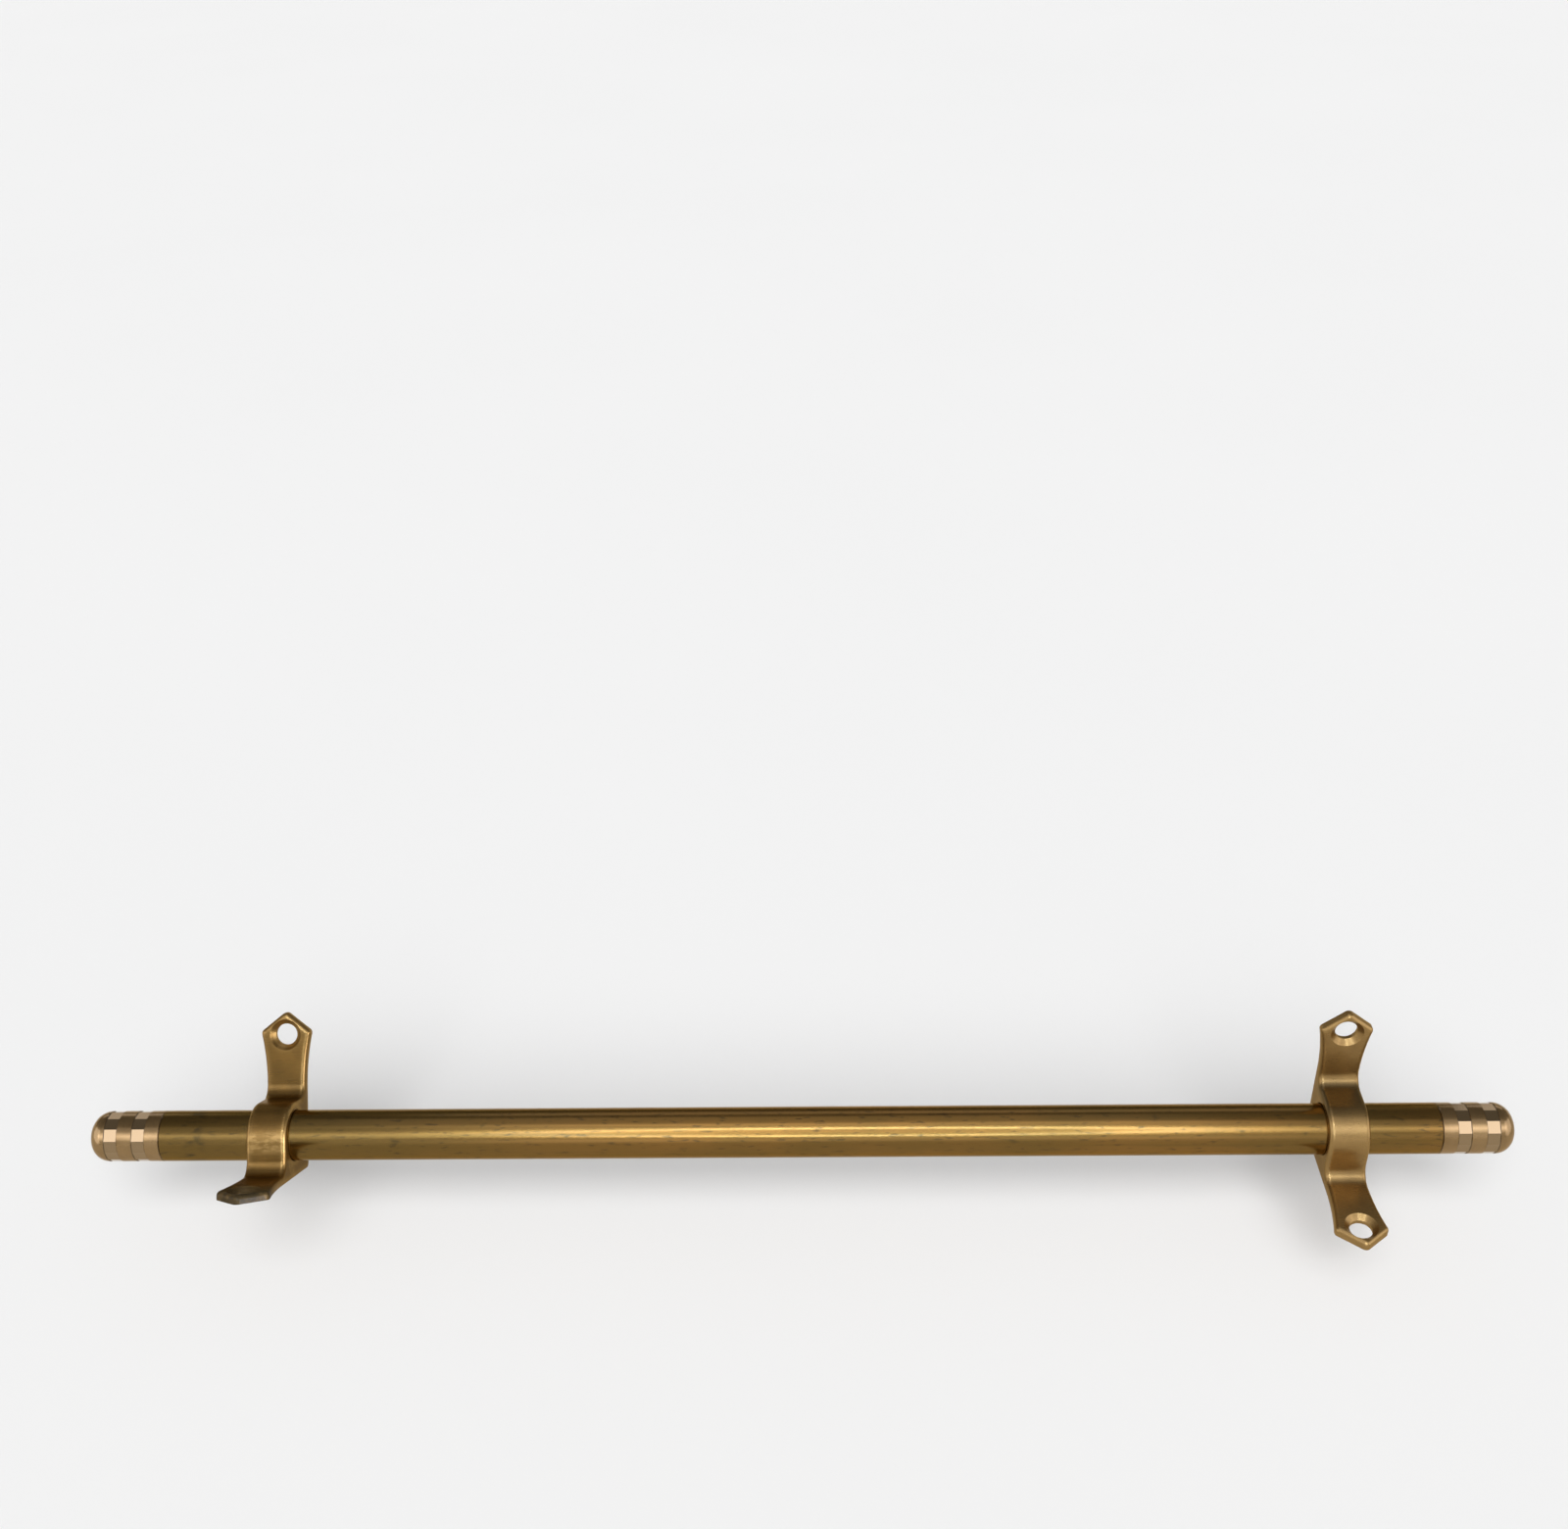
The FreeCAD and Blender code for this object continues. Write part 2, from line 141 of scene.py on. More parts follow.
def ring_faces(rows: int, columns: int, closed: bool) -> list:
    """Quads of a grid whose columns close on themselves.

    Args:
        rows: Number of rows of the grid.
        columns: Number of columns, the last of which meets the first.
        closed: Whether the last row also meets the first.

    Returns:
        Lists of four vertex numbers, counted row by row.
    """
    last = rows if closed else rows - 1
    row, column = np.meshgrid(np.arange(last), np.arange(columns), indexing="ij")
    next_row = (row + 1) % rows
    next_column = (column + 1) % columns
    corners = (
        row * columns + column,
        row * columns + next_column,
        next_row * columns + next_column,
        next_row * columns + column,
    )
    return np.stack(corners, axis=-1).reshape(-1, 4).tolist()


def spun(along: np.ndarray, radius: np.ndarray, columns: int) -> np.ndarray:
    """Surface of revolution about X: each row is a ring at its place along X, with its own radii.

    Args:
        along: Place of each row along X.
        radius: Radius of each row, or of each row and column.
        columns: Number of points round the axis.

    Returns:
        Array of rows by columns by three.
    """
    turn = np.arange(columns) * FULL_TURN / columns
    rings = np.broadcast_to(np.atleast_2d(radius.T).T, (len(along), columns))
    x = np.broadcast_to(along[:, None], rings.shape)
    return np.stack((x, rings * np.cos(turn), rings * np.sin(turn)), axis=-1)


# Finishes

@dataclass(frozen=True)
class Grain:
    """A noise pattern: repeats for each metre along X, Y and Z, number of finer layers and their weight."""

    repeats: Triple
    detail: float
    roughness: float


class Tree:
    """The node tree of one material, with short calls for the few nodes that the finishes use."""

    COLOUR_A = 6
    COLOUR_B = 7
    COLOUR_RESULT = 2
    OPENNESS_SAMPLES = 12
    NOISE_SCALE = 1.0

    def __init__(self, name: str) -> None:
        """Make an empty material with a principled shader.

        Args:
            name: Name of the material.
        """
        self.material = bpy.data.materials.new(name)
        self.material.use_nodes = True
        self.nodes = self.material.node_tree.nodes
        self.links = self.material.node_tree.links
        self.shader = self.nodes["Principled BSDF"]
        self.place = self.nodes.new("ShaderNodeTexCoord").outputs["Object"]

    def set(self, **values: float | tuple) -> None:
        """Set uniform values on the shader's own sockets, written with _ for a blank."""
        for key, value in values.items():
            self.shader.inputs[key.replace("_", " ")].default_value = value

    def feed(self, source: Socket, name: str) -> None:
        """Link a pattern to a socket of the shader."""
        self.links.new(source, self.shader.inputs[name])

    def noise(self, grain: Grain) -> Socket:
        """Fractal noise between 0 and 1 in object coordinates.

        Args:
            grain: Stretch and layers of the pattern.

        Returns:
            The value socket.
        """
        stretch = self.nodes.new("ShaderNodeMapping")
        stretch.inputs["Scale"].default_value = grain.repeats
        self.links.new(self.place, stretch.inputs["Vector"])
        node = self.nodes.new("ShaderNodeTexNoise")
        node.inputs["Scale"].default_value = self.NOISE_SCALE
        node.inputs["Detail"].default_value = grain.detail
        node.inputs["Roughness"].default_value = grain.roughness
        self.links.new(stretch.outputs["Vector"], node.inputs["Vector"])
        return node.outputs["Fac"]

    def span(self, value: Socket, source: Range, target: Range) -> Socket:
        """Map a value smoothly from one range to another, clamped.

        Args:
            value: The value to map.
            source: Values that become the two ends of the target.
            target: Results at the two ends of the source.

        Returns:
            The mapped value socket.
        """
        node = self.nodes.new("ShaderNodeMapRange")
        node.interpolation_type = "SMOOTHSTEP"
        for name, number in zip(("From Min", "From Max", "To Min", "To Max"), (*source, *target)):
            node.inputs[name].default_value = number
        self.links.new(value, node.inputs["Value"])
        return node.outputs["Result"]

    def blend(self, share: Socket, first: Colour | Socket, second: Colour | Socket) -> Socket:
        """Mix two colours by a share.

        Args:
            share: 0 for the first colour and 1 for the second.
            first: A colour or a socket.
            second: A colour or a socket.

        Returns:
            The mixed colour socket.
        """
        node = self.nodes.new("ShaderNodeMix")
        node.data_type = "RGBA"
        self.links.new(share, node.inputs["Factor"])
        for number, colour in ((self.COLOUR_A, first), (self.COLOUR_B, second)):
            if isinstance(colour, Socket):
                self.links.new(colour, node.inputs[number])
            else:
                node.inputs[number].default_value = (*colour, 1.0)
        return node.outputs[self.COLOUR_RESULT]

    def axis(self, axis: Axis) -> Socket:
        """One object coordinate.

        Args:
            axis: The axis along which it counts.

        Returns:
            The value socket, in metres.
        """
        node = self.nodes.new("ShaderNodeSeparateXYZ")
        self.links.new(self.place, node.inputs[0])
        return node.outputs[axis.value]

    def painted(self, mark: str) -> Socket:
        """A value that the mesh carries.

        Args:
            mark: Name under which the value is stored.

        Returns:
            The value socket.
        """
        node = self.nodes.new("ShaderNodeAttribute")
        node.attribute_name = mark
        return node.outputs["Fac"]

    def openness(self, reach: float, inside: bool = False) -> Socket:
        """Share of open space round a point of the piece itself.

        Args:
            reach: How far off a wall still counts, in metres.
            inside: Look into the solid, which finds outer edges, and not out of it, which finds
                inner corners.

        Returns:
            The value socket, 1 where no other wall stands near.
        """
        node = self.nodes.new("ShaderNodeAmbientOcclusion")
        node.samples = self.OPENNESS_SAMPLES
        node.inside = inside
        node.only_local = True
        node.inputs["Distance"].default_value = reach
        return node.outputs["AO"]

    def times(self, first: Socket, second: Socket) -> Socket:
        """Product of two values.

        Args:
            first: A value.
            second: A value.

        Returns:
            The value socket of the product.
        """
        node = self.nodes.new("ShaderNodeMath")
        node.operation = "MULTIPLY"
        self.links.new(first, node.inputs[0])
        self.links.new(second, node.inputs[1])
        return node.outputs[0]

    def bump(self, height: Socket, strength: float, depth: float) -> None:
        """Raise the surface by a pattern.

        Args:
            height: Pattern between 0 and 1.
            strength: Share of the effect.
            depth: Height of the pattern in metres.
        """
        node = self.nodes.new("ShaderNodeBump")
        node.inputs["Strength"].default_value = strength
        node.inputs["Distance"].default_value = depth
        self.links.new(height, node.inputs["Height"])
        self.feed(node.outputs["Normal"], "Normal")


@dataclass(frozen=True)
class DrawnBrass:
    """Aged satin brass of the tube: drawing streaks, olive patina, dark specks and a few tarnish marks."""

    bright: Colour = (0.222, 0.110, 0.0225)
    patina: Colour = (0.140, 0.083, 0.0175)
    tarnish_and_shade: Colour = (0.045, 0.032, 0.011)
    cloud_grain: Grain = Grain((18.0, 60.0, 60.0), detail=4.0, roughness=0.6)
    cloud_range: Range = (0.35, 0.72)
    cloud_share: float = 0.75
    olive_places: Range = (-0.19, 0.01)
    olive_share: float = 0.85
    streak_grain: Grain = Grain((6.0, 700.0, 700.0), detail=3.0, roughness=0.6)
    streak_range: Range = (0.50, 0.75)
    streak_share: float = 0.65
    speck_grain: Grain = Grain((240.0, 900.0, 900.0), detail=3.0, roughness=0.6)
    speck_range: Range = (0.56, 0.70)
    speck_share: float = 0.55
    mark_place: float = -0.192
    mark_reach: float = 0.005
    mark_grain: Grain = Grain((150.0, 230.0, 230.0), detail=2.0, roughness=0.5)
    mark_range: Range = (0.42, 0.58)
    mark_share: float = 0.80
    sheen_range: Range = (0.3, 0.75)
    roughness: Range = (0.19, 0.27)
    coat: float = 0.20
    coat_roughness: float = 0.16
    scratch_grain: Grain = Grain((60.0, 2200.0, 2200.0), detail=2.0, roughness=0.5)
    scratch_strength: float = 0.16
    scratch_depth: float = 0.00004

    def material(self) -> bpy.types.Material:
        """Build the node material.

        Returns:
            The finished material.
        """
        tree = Tree("drawn_brass")
        along = tree.axis(Axis.X)
        streaks = tree.noise(self.streak_grain)
        clouds = tree.span(tree.noise(self.cloud_grain), self.cloud_range, (0.0, self.cloud_share))
        aged = tree.blend(clouds, self.bright, self.patina)
        olive = tree.blend(tree.span(along, self.olive_places, (self.olive_share, 0.0)), aged, self.patina)
        streaky = tree.span(streaks, self.streak_range, (0.0, self.streak_share))
        streaked = tree.blend(streaky, olive, self.patina)
        specks = tree.span(tree.noise(self.speck_grain), self.speck_range, (0.0, self.speck_share))
        speckled = tree.blend(specks, streaked, self.tarnish_and_shade)
        marked = tree.blend(self.marks(tree, along), speckled, self.tarnish_and_shade)
        # Painted shade: the seam mark darkens the tube's ends and bore towards a dark brown.
        tree.feed(tree.blend(tree.painted(SHADE_MARK), marked, self.tarnish_and_shade), "Base Color")
        tree.feed(tree.span(streaks, self.sheen_range, self.roughness), "Roughness")
        tree.set(Metallic=1.0, Specular_Tint=EDGE_TINT)
        tree.set(Coat_Weight=self.coat, Coat_Roughness=self.coat_roughness)
        tree.bump(tree.noise(self.scratch_grain), self.scratch_strength, self.scratch_depth)
        return tree.material

    def marks(self, tree: Tree, along: Socket) -> Socket:
        """Share of tarnish in the small spots round one place of the tube.

        Args:
            tree: The node tree of the finish.
            along: Place along the tube.

        Returns:
            The value socket.
        """
        rise = (self.mark_place - self.mark_reach, self.mark_place)
        fall = (self.mark_place, self.mark_place + self.mark_reach)
        near = tree.times(tree.span(along, rise, NONE_TO_ALL), tree.span(along, fall, ALL_TO_NONE))
        spots = tree.noise(self.mark_grain)
        return tree.times(near, tree.span(spots, self.mark_range, (0.0, self.mark_share)))


@dataclass(frozen=True)
class TurnedBrass:
    """Turned brass of the caps, paler than the tube, with burnished flats and faint turning rings."""

    bright: Colour = (0.275, 0.166, 0.062)
    dull: Colour = (0.220, 0.128, 0.044)
    burnished: Colour = (0.272, 0.180, 0.086)
    painted_shade: Colour = (0.060, 0.038, 0.016)
    cloud_grain: Grain = Grain((160.0, 160.0, 160.0), detail=3.0, roughness=0.55)
    cloud_range: Range = (0.40, 0.72)
    dull_share: float = 0.9
    turned_roughness: float = 0.24
    flat_roughness: float = 0.12
    coat: float = 0.5
    coat_roughness: float = 0.12
    ring_grain: Grain = Grain((2600.0, 12.0, 12.0), detail=2.0, roughness=0.5)
    ring_strength: float = 0.12
    ring_depth: float = 0.00003

    def material(self) -> bpy.types.Material:
        """Build the node material.

        Returns:
            The finished material.
        """
        tree = Tree("turned_brass")
        flat = tree.painted(FLAT_MARK)
        clouds = tree.span(tree.noise(self.cloud_grain), self.cloud_range, (0.0, self.dull_share))
        turned = tree.blend(clouds, self.bright, self.dull)
        shiny = tree.blend(flat, turned, self.burnished)
        # Painted shade: the seam and step marks darken the cap towards a dark brown.
        tree.feed(tree.blend(tree.painted(SHADE_MARK), shiny, self.painted_shade), "Base Color")
        tree.feed(tree.span(flat, NONE_TO_ALL, (self.turned_roughness, self.flat_roughness)), "Roughness")
        tree.set(Metallic=1.0, Specular_Tint=EDGE_TINT)
        tree.set(Coat_Weight=self.coat, Coat_Roughness=self.coat_roughness)
        tree.bump(tree.noise(self.ring_grain), self.ring_strength, self.ring_depth)
        return tree.material


@dataclass(frozen=True)
class CastBrass:
    """Brushed cast brass of a bracket: brown gold with fine lines, painted shade in the inner corners and
    bright edges that are partly wear and partly a painted highlight.
    """

    name: str
    gold: Colour
    brown: Colour
    worn_and_highlight: Colour = (0.400, 0.245, 0.082)
    tarnish_and_shade: Colour = (0.060, 0.040, 0.016)
    cloud_grain: Grain = Grain((90.0, 90.0, 90.0), detail=3.0, roughness=0.55)
    cloud_range: Range = (0.35, 0.70)
    brush_grain: Grain = Grain((260.0, 5200.0, 5200.0), detail=2.0, roughness=0.5)
    brush_range: Range = (0.45, 0.75)
    brush_share: float = 0.22
    brush_strength: float = 0.03
    brush_depth: float = 0.00003
    edge_reach: float = 0.0022
    edge_range: Range = (0.70, 0.99)
    edge_wear_and_highlight: float = 0.20
    corner_reach: float = 0.014
    corner_range: Range = (0.35, 0.92)
    corner_shade: float = 0.45
    strap_bend: Range = (-0.0114, -0.0098)
    strap_crest: Range = (-0.0085, -0.0060)
    strap_highlight: float = 0.0
    patch_grain: Grain = Grain((300.0, 700.0, 700.0), detail=3.0, roughness=0.6)
    patch_range: Range = (0.38, 0.62)
    patch_shares: Range = (0.3, 1.0)
    top_crest: Range = (-0.007, -0.001)
    top_bend: Range = (0.0080, 0.0098)
    top_height: Range = (0.0070, 0.0095)
    top_shade: float = 0.0
    tip_places: Range = (-0.033, -0.020)
    tip_tarnish_and_shade: float = 0.0
    blotch_grain: Grain = Grain((260.0, 260.0, 260.0), detail=3.0, roughness=0.6)
    blotch_range: Range = (0.25, 0.60)
    blotch_shares: Range = (0.55, 1.0)
    sheen_range: Range = (0.3, 0.7)
    roughness: Range = (0.27, 0.33)
    tarnish_dulling: float = 2.3
    metal: float = 0.86
    coat: float = 0.10
    coat_roughness: float = 0.16

    def material(self) -> bpy.types.Material:
        """Build the node material.

        Returns:
            The finished material.
        """
        tree = Tree(self.name)
        brush = tree.noise(self.brush_grain)
        clouds = tree.span(tree.noise(self.cloud_grain), self.cloud_range, NONE_TO_ALL)
        warm = tree.blend(clouds, self.gold, self.brown)
        lined = tree.blend(tree.span(brush, self.brush_range, (0.0, self.brush_share)), warm, self.brown)
        # Painted highlight: brighter patches on the front of the strap, standing in for its glints.
        strap_lit = tree.blend(self.strap_front(tree), lined, self.worn_and_highlight)
        # Outer edges are brightened towards a pale colour: partly wear, partly a painted highlight.
        edges = tree.openness(self.edge_reach, inside=True)
        edged = tree.blend(tree.span(edges, self.edge_range, (self.edge_wear_and_highlight, 0.0)), strap_lit, self.worn_and_highlight)
        # Painted shade: the inner corners and bends are darkened by how closed in they are.
        corners = tree.span(tree.openness(self.corner_reach), self.corner_range, (self.corner_shade, 0.0))
        cornered = tree.blend(corners, edged, self.tarnish_and_shade)
        # Painted shade: the flat top of the eye, which faces up, is darkened in colour.
        top_shaded = tree.blend(self.eye_top(tree), cornered, self.tarnish_and_shade)
        # Blotchy tarnishing towards the tread foot's tip: partly real mottling, partly painted shade.
        tip_dirt_and_shade = self.foot_tip(tree)
        tree.feed(tree.blend(tip_dirt_and_shade, top_shaded, self.tarnish_and_shade), "Base Color")
        brushed = tree.span(brush, self.sheen_range, self.roughness)
        dulled = tree.span(tip_dirt_and_shade, NONE_TO_ALL, (1.0, self.tarnish_dulling))
        tree.feed(tree.times(brushed, dulled), "Roughness")
        tree.set(Metallic=self.metal, Specular_Tint=EDGE_TINT)
        tree.set(Coat_Weight=self.coat, Coat_Roughness=self.coat_roughness)
        tree.bump(brush, self.brush_strength, self.brush_depth)
        return tree.material

    def strap_front(self, tree: Tree) -> Socket:
        """Share of a painted highlight on the front of the strap below the crest, in small patches.

        Args:
            tree: The node tree of the finish.

        Returns:
            The value socket.
        """
        along = tree.axis(Axis.Y)
        behind_bend = tree.span(along, self.strap_bend, (0.0, self.strap_highlight))
        before_crest = tree.span(along, self.strap_crest, ALL_TO_NONE)
        patches = tree.span(tree.noise(self.patch_grain), self.patch_range, self.patch_shares)
        return tree.times(tree.times(behind_bend, before_crest), patches)

    def eye_top(self, tree: Tree) -> Socket:
        """Share of painted shade on the flat top of the eye, between the crest and the bend of the riser
        foot.

        Args:
            tree: The node tree of the finish.

        Returns:
            The value socket.
        """
        along = tree.axis(Axis.Y)
        behind_crest = tree.span(along, self.top_crest, (0.0, self.top_shade))
        before_bend = tree.span(along, self.top_bend, ALL_TO_NONE)
        above_rod = tree.span(tree.axis(Axis.Z), self.top_height, NONE_TO_ALL)
        return tree.times(tree.times(behind_crest, before_bend), above_rod)

    def foot_tip(self, tree: Tree) -> Socket:
        """Share of blotchy tarnishing, partly painted shade, that grows towards the tip of the tread foot.

        Args:
            tree: The node tree of the finish.

        Returns:
            The value socket.
        """
        near_tip = tree.span(tree.axis(Axis.Y), self.tip_places, (self.tip_tarnish_and_shade, 0.0))
        blotches = tree.span(tree.noise(self.blotch_grain), self.blotch_range, self.blotch_shares)
        return tree.times(near_tip, blotches)


@dataclass(frozen=True)
class FloorPaper:
    """Plain pale paper of the floor."""

    pale: Colour = (0.86, 0.86, 0.86)
    shade: Colour = (0.84, 0.84, 0.84)
    cloud_grain: Grain = Grain((3.0, 3.0, 3.0), detail=2.0, roughness=0.5)
    roughness: float = 0.9

    def material(self) -> bpy.types.Material:
        """Build the node material.

        Returns:
            The finished material.
        """
        tree = Tree("floor_paper")
        tree.feed(tree.blend(tree.noise(self.cloud_grain), self.pale, self.shade), "Base Color")
        tree.set(Roughness=self.roughness, Specular_IOR_Level=0.0)
        return tree.material


def dress(piece: bpy.types.Object, finish: bpy.types.Material) -> None:
    """Give every face of a piece one finish."""
    piece.data.materials.clear()
    piece.data.materials.append(finish)


# Rod

class Station(NamedTuple):
    """One ring of a cap: its place along X, its radius and whether flats are cut in it."""

    along: float
    radius: float
    cut: bool


@dataclass
class Rod:
    """The tube and the caps in its ends."""

    wall: float = 1.0 * MM
    seam_bevel: float = 0.25 * MM
    spigot_length: float = 10.0 * MM
    spigot_play: float = 0.05 * MM
    band: float = 4.6 * MM
    facet: float = 4.3 * MM
    facet_count: int = 13
    facet_rings: int = 2
    facet_sink: float = 0.06 * MM
    facet_turn_deg: float = 44.0
    facet_slope: float = 0.22 * MM
    dome_corner: float = 5.8 * MM
    dome_crown: float = 20.0 * MM
    dome_steps: int = 14
    tube_columns: int = 144
    tube_steps: int = 160
    samples_per_facet: int = 12
    cap_sharp_deg: float = 24.0
    seam_shade: float = 0.6
    step_shade: float = 0.75
    radius: float = field(init=False)
    half_tube: float = field(init=False)

    def __post_init__(self) -> None:
        """Take the tube's radius and length from its node."""
        low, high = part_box("tube")
        self.radius = (high.z - low.z) / 2
        self.half_tube = (high.x - low.x) / 2

    def build_tube(self) -> bpy.types.Object:
        """Spin the closed section of the tube's wall about X.

        The section runs out along the outer skin, over the end bevel, back along the bore and round
        the other end.

        Returns:
            The piece that stands for the tube.
        """
        reach = self.half_tube
        skin = np.linspace(-reach + self.seam_bevel, reach - self.seam_bevel, self.tube_steps)
        bore = self.radius - self.wall
        along = np.concatenate((skin, [reach, reach, -reach, -reach]))
        radius = np.concatenate((
            np.full(self.tube_steps, self.radius),
            [self.radius - self.seam_bevel, bore, bore, self.radius - self.seam_bevel],
        ))
        points = spun(along, radius, self.tube_columns)
        faces = ring_faces(len(along), self.tube_columns, closed=True)
        piece = put_mesh(Piece.TUBE.value, points.reshape(-1, 3), faces)
        # Painted shade: the rows off the outer skin (end bevels, end faces and bore) are darkened in
        # colour, as shade in the seam with the caps.
        on_skin = np.arange(len(along)) < self.tube_steps - 1
        paint_rows(piece, SHADE_MARK, np.where(on_skin, 0.0, self.seam_shade), self.tube_columns)
        return self.seat(piece, "tube", "tube_brass")

    def dome(self) -> tuple[np.ndarray, np.ndarray]:
        """Profile of a dome: a corner arc tangent to the straight side, then a flatter arc to the tip.

        Returns:
            Places along the axis from the end of the straight side, and radii.
        """
        drop = self.radius - self.dome_corner
        lean = math.asin(drop / (self.dome_crown - self.dome_corner))
        centre = -(self.dome_crown - self.dome_corner) * math.cos(lean)
        corner = np.linspace(math.pi / 2, lean, self.dome_steps)
        crown = np.linspace(lean, 0.0, self.dome_steps)[1:]
        along = np.concatenate((
            self.dome_corner * np.cos(corner),
            centre + self.dome_crown * np.cos(crown),
        ))
        radius = np.concatenate((
            drop + self.dome_corner * np.sin(corner),
            self.dome_crown * np.sin(crown),
        ))
        return along, radius

    def cap_profile(self) -> tuple[np.ndarray, np.ndarray, np.ndarray]:
        """Profile of a cap from the inner end of its spigot over its rings of flats to the dome's tip.

        Returns:
            Places along X from the tube's end, radii, and whether flats are cut at each place.
        """
        plug = self.radius - self.wall - self.spigot_play
        stations = [
            Station(-self.spigot_length, 0.0, False),
            Station(-self.spigot_length, plug, False),
            Station(0.0, plug, False),
            Station(0.0, self.radius - self.seam_bevel, False),
            Station(self.seam_bevel, self.radius, False),
        ]
        stop = 0.0
        for _ in range(self.facet_rings):
            start = stop + self.band
            stop = start + self.facet
            stations.append(Station(start, self.radius, False))
            stations.append(Station(start + self.facet_slope, self.radius, True))
            stations.append(Station(stop - self.facet_slope, self.radius, True))
            stations.append(Station(stop, self.radius, False))
        dome_along, dome_radius = self.dome()
        along = np.concatenate(([row.along for row in stations], stop + dome_along[1:]))
        radius = np.concatenate(([row.radius for row in stations], dome_radius[1:]))
        cut = np.concatenate(([row.cut for row in stations], np.zeros(len(dome_along) - 1, bool)))
        return along, radius, cut

    def flat_radii(self, columns: int) -> np.ndarray:
        """Radius of a ring of flats at each point round the axis.

        It is the smaller of the turned radius and the flat's distance over the cosine of the angle from
        the flat's middle.

        Args:
            columns: Number of points round the axis.

        Returns:
            One radius for each point.
        """
        pitch = FULL_TURN / self.facet_count
        from_middle = (np.arange(columns) * FULL_TURN / columns + pitch / 2) % pitch - pitch / 2
        height = self.radius * math.cos(pitch / 2) - self.facet_sink
        return np.minimum(self.radius, height / np.cos(from_middle))

    def build_cap(self, end: End) -> bpy.types.Object:
        """Spin a cap's profile about X, cut its rings of flats, and paint the flats and a painted shade in
        the seam and on the steps round the flats.

        Args:
            end: The end of the rod that the cap closes.

        Returns:
            The piece that stands for the cap.
        """
        along, radius, cut = self.cap_profile()
        columns = self.facet_count * self.samples_per_facet
        radii = np.where(cut[:, None], self.flat_radii(columns)[None, :], radius[:, None])
        spin = Matrix.Rotation(math.radians(self.facet_turn_deg + RIGHT_ANGLE_DEG), 3, "X")
        points = spun(along, radii, columns) @ np.array(spin).T
        if end is End.LEFT:
            points = points * (-1.0, 1.0, 1.0)
        points[..., 0] += end.value * self.half_tube
        faces = ring_faces(len(along), columns, closed=False)
        piece = put_mesh(end.cap.value, points.reshape(-1, 3), faces, self.cap_sharp_deg)
        # Painted shade: the rows in the seam and on the steps round the flats are darkened in colour where
        # shade falls.
        on_step = cut[:-1] != cut[1:]
        in_seam = along[1:] <= self.seam_bevel
        paint_rows(piece, FLAT_MARK, cut[:-1] & cut[1:], columns)
        painted_shade = np.where(in_seam, self.seam_shade, self.step_shade * on_step)
        paint_rows(piece, SHADE_MARK, painted_shade, columns)
        self.close(piece)
        return self.seat(piece, end.node, "cap_brass")

    @staticmethod
    def close(piece: bpy.types.Object) -> None:
        """Merge the rings at the poles to points and turn all faces outwards.

        Args:
            piece: The piece to close.
        """
        shell = bmesh.new()
        shell.from_mesh(piece.data)
        bmesh.ops.remove_doubles(shell, verts=shell.verts, dist=MERGE_DISTANCE)
        bmesh.ops.recalc_face_normals(shell, faces=shell.faces)
        shell.to_mesh(piece.data)
        shell.free()

    @staticmethod
    def seat(piece: bpy.types.Object, node: str, slot: str) -> bpy.types.Object:
        """Let a piece stand for a node and ride with the rod.

        Args:
            piece: The new piece.
            node: Name of the node that it replaces.
            slot: Not used.

        Returns:
            The same piece.
        """
        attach(piece, "rod")
        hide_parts(node)
        return piece

    def build(self) -> None:
        """Build and dress the tube and both caps."""
        tube = self.build_tube()
        dress(tube, DrawnBrass().material())
        log.info("%s: %d faces", tube.name, len(tube.data.polygons))
        polished = TurnedBrass().material()
        for end in End:
            cap = self.build_cap(end)
            dress(cap, polished)
            log.info("%s: %d faces", cap.name, len(cap.data.polygons))


# Brackets

@dataclass
class EyeBrackets:
    """The two cast brackets that hold the rod."""

    finishes: tuple[tuple[Piece, CastBrass], ...] = (
        (Piece.BRACKET_LEFT, CastBrass(
            "olive_cast_brass", gold=(0.160, 0.084, 0.0185), brown=(0.108, 0.058, 0.013),
            tarnish_and_shade=(0.040, 0.029, 0.013), tip_tarnish_and_shade=0.95, edge_wear_and_highlight=0.45, corner_shade=0.10,
            brush_grain=Grain((130.0, 2600.0, 2600.0), detail=2.0, roughness=0.5), brush_share=0.75,
            strap_highlight=0.70,
        )),
        (Piece.BRACKET_RIGHT, CastBrass(
            "warm_cast_brass", gold=(0.268, 0.160, 0.053), brown=(0.212, 0.125, 0.041), top_shade=0.65,
        )),
    )

    def build(self) -> None:
        """Dress both brackets."""
        for piece, finish in self.finishes:
            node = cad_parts[piece.value]
            dress(node, finish.material())
            log.info("%s: %d faces", node.name, len(node.data.polygons))


# Studio

@dataclass(frozen=True)
class Panel:
    """A flat rectangular light that shows only in the gloss of the metal."""

    name: str
    length: float
    width: float
    radiance: float
    colour: Colour

    def hang(self, spot: Vector, side: Vector, away: Vector) -> bpy.types.Object:
        """Put the light in its place.

        Args:
            spot: Middle of the light, in metres.
            side: Direction of its length.
            away: Direction of its back, away from the rod.

        Returns:
            The light, linked to the scene.
        """
        lamp = bpy.data.lights.new(self.name, "AREA")
        lamp.shape = "RECTANGLE"
        lamp.size = self.length
        lamp.size_y = self.width
        lamp.energy = self.radiance * math.pi * self.length * self.width
        lamp.color = self.colour
        light = bpy.data.objects.new(self.name, lamp)
        axes = Matrix((side, away.cross(side), away)).transposed()
        light.matrix_world = Matrix.Translation(spot) @ axes.to_4x4()
        light.visible_diffuse = False
        bpy.context.scene.collection.objects.link(light)
        return light


